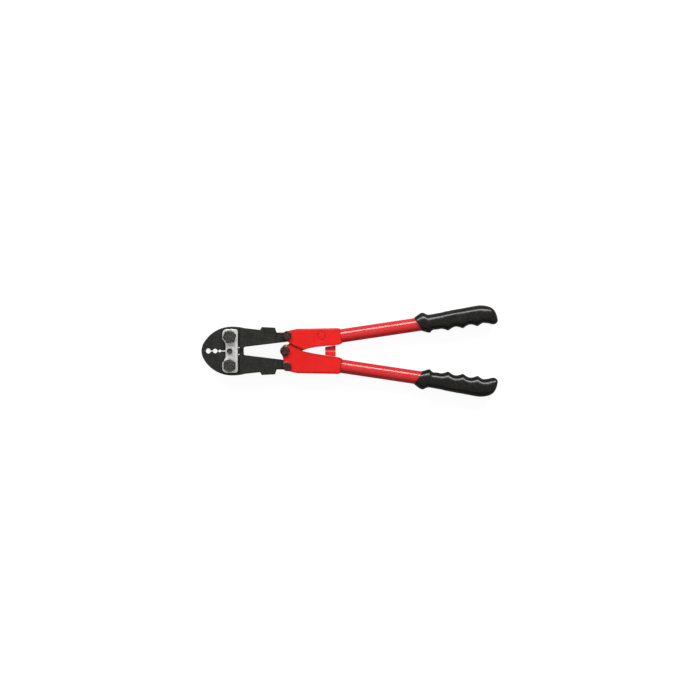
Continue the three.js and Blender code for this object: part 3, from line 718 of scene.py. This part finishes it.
for side_name, _ in SIDES:
    nut(f"{side_name}_jaw_nut_turned", f"{side_name}_jaw_nut", "head", "black_oxide")
    nut(f"{side_name}_link_nut_turned", f"{side_name}_link_nut", f"{side_name}_handle",
        "bronzed_steel")
    plain_ring(f"{side_name}_link_washer_plated", f"{side_name}_link_washer",
               f"{side_name}_handle", "zinc_plate")
nut("pivot_nut_turned", "pivot_nut", "lower_handle", "bronzed_steel")
nut("centre_nut_turned", "centre_nut", "head", "black_oxide")
plain_ring("pivot_washer_plated", "pivot_washer", "lower_handle", "zinc_plate")
plain_ring("pivot_spacer_plated", "pivot_spacer", "lower_handle", "zinc_plate")

# %% [markdown]
# The centre screw is a cap screw: a cylinder with a rounded top edge and a hexagon socket.
# Its rings go down inside the socket to a shallow cone, and end in the middle of its floor.

# %% Centre screw
SOCKET_ACROSS = 4.0 * MM
SOCKET_DEPTH = 2.0 * MM
FLOOR_DROP = 0.4 * MM
CAP_CHAMFER = 0.2
CAP_EDGE = 0.5 * MM


def cap_screw(name, node_name, nut_node, body, slot):
    """A round head with a rounded top edge and a hexagon socket, on a plain shank."""
    points = solid_points(node_name)
    axis = upright_axis(nut_node)
    bottom, top = heights(points)
    shank, seat = shank_and_seat(points, axis)
    head = reach(points, axis, top - NEAR, top + MM)
    mouth = hexagon(SOCKET_ACROSS, 0.0)
    arc = CAP_EDGE * 0.3
    rings = [
        ring(axis, TIP, bottom),
        ring(axis, shank * (1 - CAP_CHAMFER), bottom),
        ring(axis, shank, bottom + shank * CAP_CHAMFER),
        ring(axis, shank, seat),
        ring(axis, head - SMALL_EDGE, seat),
        ring(axis, head, seat + SMALL_EDGE),
        ring(axis, head, top - CAP_EDGE),
        ring(axis, head - arc, top - arc),
        ring(axis, head - CAP_EDGE, top),
        ring(axis, mouth + 0.3 * MM, top),
        ring(axis, mouth, top - SMALL_EDGE),
        ring(axis, mouth, top - SOCKET_DEPTH),
        ring(axis, TIP, top - SOCKET_DEPTH - FLOOR_DROP),
    ]
    piece = skin(name, np.stack(rings), distance=axis)
    soften(piece, THIN_EDGE, angle=25)
    return hand_over(piece, node_name, body, slot)


cap_screw("centre_screw_turned", "centre_screw", "centre_nut", "head", "black_oxide")

# %% [markdown]
# ## Jaws, plates, brackets and stops
#
# These pieces already have their true outlines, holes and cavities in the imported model, and
# only their edges are too sharp. A copy of the solid has its corners merged and its flat
# faces joined up, and then its edges are rounded. A forging has generous edges, a blanked
# plate has small ones.

# %% Copy a solid so that its edges can be rounded
MERGE_WITHIN = 0.000002
FLAT_WITHIN = math.radians(0.4)
SHADED_SHARP = math.radians(35)
BIG_FACES_FIRST = 100


def clean_copy(name, node_name, left_alone=lambda place: False):
    """A merged copy of a solid, in which triangles of one flat face are joined. Corners
    in the part that is left alone keep their triangles."""
    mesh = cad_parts[node_name].data.copy()
    mesh.name = name
    work = bmesh.new()
    work.from_mesh(mesh)
    bmesh.ops.remove_doubles(work, verts=work.verts, dist=MERGE_WITHIN)
    corners = [vertex for vertex in work.verts if not left_alone(vertex.co)]
    lines = [edge for edge in work.edges if not any(left_alone(v.co) for v in edge.verts)]
    bmesh.ops.dissolve_limit(work, angle_limit=FLAT_WITHIN, verts=corners, edges=lines)
    work.to_mesh(mesh)
    work.free()
    mesh.shade_smooth()
    return add_object(name, mesh)


def edge_table(piece):
    """For each edge with two faces: its middle, the two face normals and its length."""
    work = bmesh.new()
    work.from_mesh(piece.data)
    rows = []
    for edge in work.edges:
        if len(edge.link_faces) == 2:
            first, second = edge.link_faces
            middle = (edge.verts[0].co + edge.verts[1].co) / 2
            rows.append((edge.index, *middle, *first.normal, *second.normal, edge.calc_length()))
    work.free()
    return np.array(rows)


def round_edges(piece, chosen, width, segments):
    """A bevel whose width on each edge is its share of the full width. Shading then follows
    the big flat faces, and only edges that are still sharp show as corners."""
    weights = np.zeros(len(piece.data.edges), np.float32)
    weights[list(chosen)] = list(chosen.values())
    stored = piece.data.attributes.new("bevel_weight_edge", "FLOAT", "EDGE")
    stored.data.foreach_set("value", weights)
    bevel = piece.modifiers.new("rounded_edges", "BEVEL")
    bevel.width = width
    bevel.segments = segments
    bevel.limit_method = "WEIGHT"
    bevel.use_clamp_overlap = False
    piece.data.set_sharp_from_angle(angle=SHADED_SHARP)
    flatten = piece.modifiers.new("flat_faces", "WEIGHTED_NORMAL")
    flatten.weight = BIG_FACES_FIRST
    flatten.keep_sharp = True
    return piece


# %% [markdown]
# ### Jaws
#
# Only the outer edges of a jaw are round. The faces that meet at the parting line, the
# swaging cavities and the lips over the centre block are machined and stay crisp, so edges
# close to the parting line keep their corner. Closed jaws touch at the nose, where no light
# comes through, so the parting faces there are drawn together until a hair's width is left.

# %% Forged jaws
JAW_EDGE = 1.1 * MM
INNER_SHARE = 0.6
OUTER_BAND = 12 * MM
CRISP_BAND = 4.2 * MM
JAW_BOLT_LAND = 8 * MM
LINK_BOLT_LAND = 5 * MM
SHARP = math.cos(math.radians(30))
LEVEL = 0.9
NOSE_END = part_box("upper_jaw")[0].x + 12.0 * MM
PARTING_BAND = 0.4 * MM
TOUCHING = 0.02 * MM


def close_nose(jaw, side):
    """Moves the nose's parting face to within a hair of the tool's middle plane."""
    for vertex in jaw.data.vertices:
        if vertex.co.x < NOSE_END and abs(vertex.co.y) < PARTING_BAND:
            vertex.co.y = side * TOUCHING


for side_name, side in SIDES:
    jaw = clean_copy(f"{side_name}_jaw_forged", f"{side_name}_jaw")
    close_nose(jaw, side)
    chosen = {}
    for index, x, y, z, ax, ay, az, bx, by, bz, length in edge_table(jaw):
        corner = ax * bx + ay * by + az * bz < SHARP
        across = abs(az) > LEVEL or abs(bz) > LEVEL
        from_jaw_bolt = math.hypot(x - jaw_axis[0], y - side * jaw_axis[1])
        from_link_bolt = math.hypot(x - link_axis[0], y - side * link_axis[1])
        on_land = from_jaw_bolt < JAW_BOLT_LAND or from_link_bolt < LINK_BOLT_LAND
        if corner and across and side * y > CRISP_BAND and not on_land:
            chosen[int(index)] = 1.0 if side * y > OUTER_BAND else INNER_SHARE
    round_edges(jaw, chosen, JAW_EDGE, 3)
    hand_over(jaw, f"{side_name}_jaw", f"{side_name}_jaw", "forged_steel")
    print(jaw.name, "rounded edges", len(chosen))

# %% [markdown]
# ### Link plates, centre block and stops
#
# These are small plain pieces, so all their corners are rounded alike, the plates a little
# more than the block. The painted stops are rounded most, because paint fills their edges.

# %% Plates, block and stops
for name, node_name, body, slot, width in (
    ("front_link_plate_plated", "front_link_plate", "head", "zinc_plate", 0.6 * MM),
    ("rear_link_plate_plated", "rear_link_plate", "head", "zinc_plate", 0.6 * MM),
    ("centre_block_ground", "centre_block", "head", "forged_steel", 0.3 * MM),
    ("upper_stop_painted", "upper_stop", "upper_handle", "red_paint", 0.9 * MM),
    ("lower_stop_painted", "lower_stop", "lower_handle", "red_paint", 0.9 * MM),
):
    piece = soften(clean_copy(name, node_name), width, segments=3, angle=40)
    hand_over(piece, node_name, body, slot)

# %% [markdown]
# ### Pressed brackets
#
# A bracket is one blank of 3 mm sheet folded into a channel, so its two long outer corners
# are bends with the radius of the press tool, and all its other edges are cut edges that
# the tumbling has only just broken. The long bends are found by their faces: one looks
# along the bolts and the other looks away from the middle of the tool. The upper bracket has
# a shallow round punch mark, whose triangles are left as they are.

# %% Folded brackets
FOLD_RADIUS = 2.6 * MM
CUT_EDGE = 0.14
FOLD_FACING = 0.85
FOLD_START = 12 * MM
OUTSIDE = 8 * MM
SHORTEST_CUT = 0.8 * MM
MARK_PLACE = (51.8 * MM, -0.6 * MM)
MARK_REACH = 8.0 * MM


def near_mark(place):
    """Whether a place is near the upper bracket's punch mark. MARK_PLACE is the middle of
    the mark, from the link bolt."""
    return math.hypot(place.x - link_axis[0] - MARK_PLACE[0],
                      place.y - link_axis[1] - MARK_PLACE[1]) < MARK_REACH


for side_name, side in SIDES:
    bracket = clean_copy(f"{side_name}_bracket_pressed", f"{side_name}_bracket", near_mark)
    chosen = {}
    for index, x, y, z, ax, ay, az, bx, by, bz, length in edge_table(bracket):
        corner = ax * bx + ay * by + az * bz < SHARP
        outward = (max(side * ay, side * by) > FOLD_FACING
                   and max(abs(az), abs(bz)) > FOLD_FACING)
        outside = abs(z - mid_height) > OUTSIDE
        if not corner or not outside or near_mark(Vector((x, y, z))):
            continue
        if outward and x > link_axis[0] + FOLD_START:
            chosen[int(index)] = 1.0
        elif length > SHORTEST_CUT:
            chosen[int(index)] = CUT_EDGE
    round_edges(bracket, chosen, FOLD_RADIUS, 4)
    hand_over(bracket, f"{side_name}_bracket", f"{side_name}_handle", "red_paint")
    print(bracket.name, "rounded edges", len(chosen))

# %% [markdown]
# ## Handle tubes
#
# A tube is drawn steel with a 2 mm wall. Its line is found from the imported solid: the mean
# of its points, and the direction in which they spread most. Rings perpendicular to that
# line, out along the outside and back along the bore, close into a tube with real ends.

# %% The line of a handle
def handle_line(side_name, side):
    """Directions along the tube, outwards and up, and the middle of its front end."""
    points = solid_points(f"{side_name}_tube")
    middle = points.mean(0)
    along = np.linalg.svd(points - middle)[2][0]
    along *= math.copysign(1, along[0])
    up = np.array([0.0, 0.0, 1.0])
    outwards = np.cross(up, along) * side
    start = middle + along * ((points - middle) @ along).min()
    return along, outwards, up, start


def along_handle(line, distance, out, rise):
    """Points at distances along the tube, outwards and up, as one array."""
    along, outwards, up, start = line
    distance, out, rise = np.broadcast_arrays(distance, out, rise)
    return (start + distance[..., None] * along + out[..., None] * outwards
            + rise[..., None] * up)


lines = {side_name: handle_line(side_name, side) for side_name, side in SIDES}
lean = math.degrees(math.atan2(lines["upper"][0][1], lines["upper"][0][0]))
print("a handle leans", round(lean, 2), "degrees")

# %% Enamelled tubes
TUBE_WALL = 2.0 * MM
TUBE_END_EDGE = 0.4 * MM
TUBE_RINGS = 40
BORE_STEP = 8

for side_name, side in SIDES:
    line = lines[side_name]
    local = solid_points(f"{side_name}_tube") - line[3]
    length = (local @ line[0]).max()
    radius = np.hypot(local @ line[1], local @ line[2]).max()
    bore = radius - TUBE_WALL
    out_rim, in_rim = radius - TUBE_END_EDGE, bore + TUBE_END_EDGE
    stations = np.linspace(TUBE_END_EDGE, length - TUBE_END_EDGE, TUBE_RINGS)
    profile = [(0.0, in_rim), (0.0, out_rim)]
    profile += [(s, radius) for s in stations]
    profile += [(length, out_rim), (length, in_rim)]
    profile += [(s, bore) for s in stations[::-BORE_STEP]]
    place, away = np.array(profile).T[..., None]
    rings = along_handle(line, place, away * np.cos(angles), away * np.sin(angles))
    tube = skin(f"{side_name}_tube_enamelled", rings, looped=True)
    soften(tube, TURNED_EDGE, angle=25)
    hand_over(tube, f"{side_name}_tube", f"{side_name}_handle", "red_enamel")
    print(tube.name, "length", round(length / MM, 1), "radius", round(radius / MM, 2))

# %% [markdown]
# ## Rubber grips
#
# The grip is the softest shape on the tool. Seen from above it has a straight back that
# swells for the palm, and an inner side with scoops for the fingers, whose crests are
# pointed. At the front a collar flares out round the tube, cut off at a slant, and at the
# end the rubber hooks inwards under the little finger.
#
# It could be sculpted, but a stack of slanted rings says it exactly. Each ring runs through
# one point of the back and the matching point of the finger side. Its upper half depends
# only on the back and its lower half only on the fingers, so a scoop does not dent the
# back. Across the tool each half follows a superellipse, flatter than a circle. The rings
# carry on round the front lip and into the bore that the tube fills.

# %% Outline and section of a grip
GRIP_AROUND = 128
GRIP_RINGS = 260
GRIP_LENGTH = 123.6
GRIP_BORE = 10.55
GRIP_END_WALL = 14.0
SECTION_POWER = 2.5
SECTION_RAISE = 4
HOOK_START = 118
PALM = 14.4
CREST = 4.4
CREST_BLUNT = 0.012
FINGER_PITCH = 22.3
FIRST_CREST = 47.5

# Distance along the grip and height from the tube's line, back and finger side, in mm
BACK_LINE = np.array([
    (0.0, 11.2), (2.5, 12.6), (6.0, 14.5), (9.5, 16.1), (12.0, 16.6), (15.0, 15.9),
    (18.0, 13.6), (22.0, 12.2), (30.0, 12.3), (42.0, 12.7), (60.0, 13.3), (80.0, 14.0),
    (98.0, 14.5), (105.0, 13.7), (110.5, 12.1), (115.0, 9.8), (118.5, 6.9), (121.0, 3.2),
    (122.6, -1.6), (123.4, -6.2), (123.6, -9.6)])
FINGER_LINE = np.array([
    (8.5, -10.8), (10.0, -11.5), (12.5, -12.6), (15.5, -14.0), (18.5, -15.0), (20.5, -14.6),
    (22.5, -12.9), (25.5, -11.6), (32.0, -11.6), (42.0, -11.9), (60.0, -11.9), (80.0, -11.9),
    (98.0, -12.2), (104.5, -13.0), (109.5, -14.5), (113.5, -16.2), (117.0, -16.9),
    (120.0, -16.2), (122.0, -14.6), (123.2, -12.4), (123.6, -9.8)])
HALF_WIDTH = np.array([
    14.2, 14.8, 15.5, 16.1, 16.4, 16.4, 15.8, 15.1, 14.9, 14.9, 15.0, 15.0, 15.0, 14.8, 14.3,
    13.4, 12.0, 10.2, 7.6, 4.4, 0.8])


def through(points, samples):
    """Catmull-Rom curve through the rows of an array, at even steps of their number: each
    stretch is the cubic whose slope at a row is half the step between its neighbours."""
    rows = np.asarray(points, float).reshape(len(points), -1)
    padded = np.vstack([2 * rows[0] - rows[1], rows, 2 * rows[-1] - rows[-2]])
    place = np.linspace(0, len(rows) - 1, samples)
    index = np.minimum(place.astype(int), len(rows) - 2)
    t = (place - index)[:, None]
    p0, p1, p2, p3 = (padded[index + k] for k in range(4))
    return 0.5 * (2 * p1 + (p2 - p0) * t + (2 * p0 - 5 * p1 + 4 * p2 - p3) * t ** 2
                  + (3 * p1 - p0 - 3 * p2 + p3) * t ** 3)


def smooth_step(low, high, value):
    """0 below the low value and 1 above the high one, easing between them: 3 squares less
    2 cubes of the share of the way."""
    share = np.clip((value - low) / (high - low), 0, 1)
    return share * share * (3 - 2 * share)


def finger_crests(distance):
    """Height of the finger side above its valleys: 1 less the size of a sine that is zero at
    each crest, so that crests are pointed and valleys are round. It fades at both ends."""
    phase = np.pi * (distance - FIRST_CREST) / FINGER_PITCH
    wave = 1 - np.sqrt(np.sin(phase) ** 2 + CREST_BLUNT)
    fade = smooth_step(26, 40, distance) * (1 - smooth_step(97, 104, distance))
    return CREST * wave * fade


def grip_rings(stations):
    """Rings of the outside of a grip, as distance along, outwards and up, in mm."""
    back = through(BACK_LINE, stations)
    finger = through(FINGER_LINE, stations)
    half = through(HALF_WIDTH, stations)
    turn = np.arange(GRIP_AROUND) * 2 * np.pi / GRIP_AROUND
    sine, cosine = np.sin(turn)[None], np.cos(turn)[None]
    power = 2 / SECTION_POWER
    height = np.sign(sine) * np.abs(sine) ** power
    width = np.sign(cosine) * np.abs(cosine) ** power
    middle = np.minimum(0, (back[:, 1:] + finger[:, 1:]) / 2 + SECTION_RAISE)
    hook = smooth_step(HOOK_START, GRIP_LENGTH, back[:, :1])
    middle = middle + (finger[:, 1:] + 0.2 - middle) * hook
    below = finger[:, 1:] - finger_crests(finger[:, :1])
    out = np.where(height > 0, middle + (back[:, 1:] - middle) * height,
                   middle - (below - middle) * height)
    share = (out - finger[:, 1:]) / np.maximum(back[:, 1:] - finger[:, 1:], 0.05)
    distance = finger[:, :1] + (back[:, :1] - finger[:, :1]) * np.clip(share, -0.1, 1.1)
    rise = half * width
    return distance, out, rise


# %% Pad and ribs on the palm side, lip and bore
PAD_HEIGHT = 0.45
RIB_HEIGHT = 0.35
RIB_SPREAD = 0.9
RIBS_AT = (57, 61.5, 66)
BORE_RINGS = 8
BORE_FROM = 12

# Share of the way from the outer rim to the bore, and depth behind the rim in mm
LIP = ((0.08, -0.25), (0.25, 0.0), (0.5, 0.9), (0.85, 1.3), (1.0, 1.8))


def grip_surface(line, front, length, bore):
    """The whole closed surface of one grip in metres. The palm pad stands a little proud
    behind the waist and has three low ribs across it, each a bell curve along the grip."""
    distance, out, rise = grip_rings(GRIP_RINGS)
    palm = smooth_step(0.15, 0.6, out / PALM)
    pad = PAD_HEIGHT * smooth_step(43, 46, distance) * (1 - smooth_step(96, 106, distance))
    ribs = sum(RIB_HEIGHT * np.exp(-((distance - at) / RIB_SPREAD) ** 2) for at in RIBS_AT)
    reach_out = np.hypot(out, rise)
    swell = 1 + (pad * palm + ribs * palm) / reach_out
    out, rise = out * swell, rise * swell
    scale = length / MM / GRIP_LENGTH
    outside = along_handle(line, front + distance * scale * MM, out * MM, rise * MM)
    rim_distance, rim_out, rim_rise = distance[0], out[0], rise[0]
    round_bore = bore / np.hypot(rim_out, rim_rise)
    inside = []
    for share, sink in LIP:
        size = 1 + (round_bore - 1) * share
        inside.append((rim_distance * scale + sink, rim_out * size, rim_rise * size))
    for depth in np.linspace(BORE_FROM, GRIP_LENGTH - GRIP_END_WALL, BORE_RINGS):
        level = np.full_like(rim_distance, depth)
        inside.append((level, rim_out * round_bore, rim_rise * round_bore))
    inside = np.array(inside)
    lining = along_handle(line, front + inside[:, 0] * MM, inside[:, 1] * MM, inside[:, 2] * MM)
    return np.concatenate([lining[::-1], outside])


for side_name, side in SIDES:
    line = lines[side_name]
    local = solid_points(f"{side_name}_grip") - line[3]
    spread = local @ line[0]
    rings = grip_surface(line, spread.min(), spread.max() - spread.min(), GRIP_BORE)
    grip = skin(f"{side_name}_grip_moulded", rings)
    grip.data.shade_smooth()
    hand_over(grip, f"{side_name}_grip", f"{side_name}_handle", "black_rubber")
    print(grip.name, "faces", len(grip.data.polygons))
